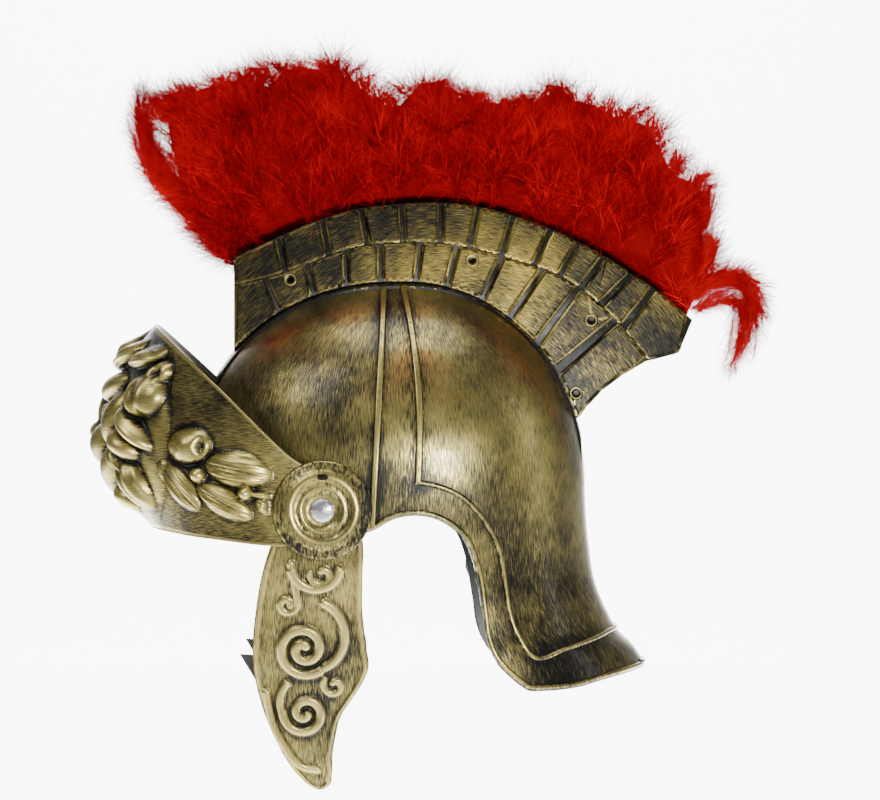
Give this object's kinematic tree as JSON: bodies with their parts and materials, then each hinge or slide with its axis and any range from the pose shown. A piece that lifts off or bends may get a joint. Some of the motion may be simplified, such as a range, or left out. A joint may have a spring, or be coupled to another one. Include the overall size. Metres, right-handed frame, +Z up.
{
  "type": "roman legionary helmet",
  "caption": "Roman officer's dress helmet in thin gold shell with a block-pattern crest holder, a feather plume, a hinged laurel visor and hinged cheek guards.",
  "frame": {"origin": "inside of the crown on the symmetry plane, where the helmet sits on a head", "axes": "+X to the back of the head, +Y to the wearer's right, +Z up"},
  "size_m": [0.3964, 0.1974, 0.4238],
  "materials": {
    "antique_gold": "antique gold with black dry brush",
    "dark_gold": "darker antique gold with black grooves",
    "red_down": "red marabou down",
    "bright_steel": "polished",
    "black_web": "black webbing"
  },
  "bodies": {
    "helmet": {"skull": "antique_gold", "crest": "dark_gold", "plume": "red_down", "rosette_left": "antique_gold", "rosette_right": "antique_gold", "rivet_left": "bright_steel", "rivet_right": "bright_steel"},
    "visor": {"visor": "antique_gold"},
    "guard_left": {"cheek_guard_left": "antique_gold", "strap_tab_left": "black_web"},
    "guard_right": {"cheek_guard_right": "antique_gold", "strap_tab_right": "black_web"}
  },
  "joints": [
    {"name": "visor_pivot", "type": "hinge", "parent": "helmet", "child": "visor", "pos_m": [-0.046, 0, -0.132], "axis": [0, 1, 0], "range_deg": [-32, 18]},
    {"name": "guard_left_pivot", "type": "hinge", "parent": "helmet", "child": "guard_left", "pos_m": [-0.046, -0.089, -0.132], "axis": [0, 1, 0], "range_deg": [-30, 12]},
    {"name": "guard_right_pivot", "type": "hinge", "parent": "helmet", "child": "guard_right", "pos_m": [-0.046, 0.089, -0.132], "axis": [0, 1, 0], "range_deg": [-30, 12]}
  ]
}
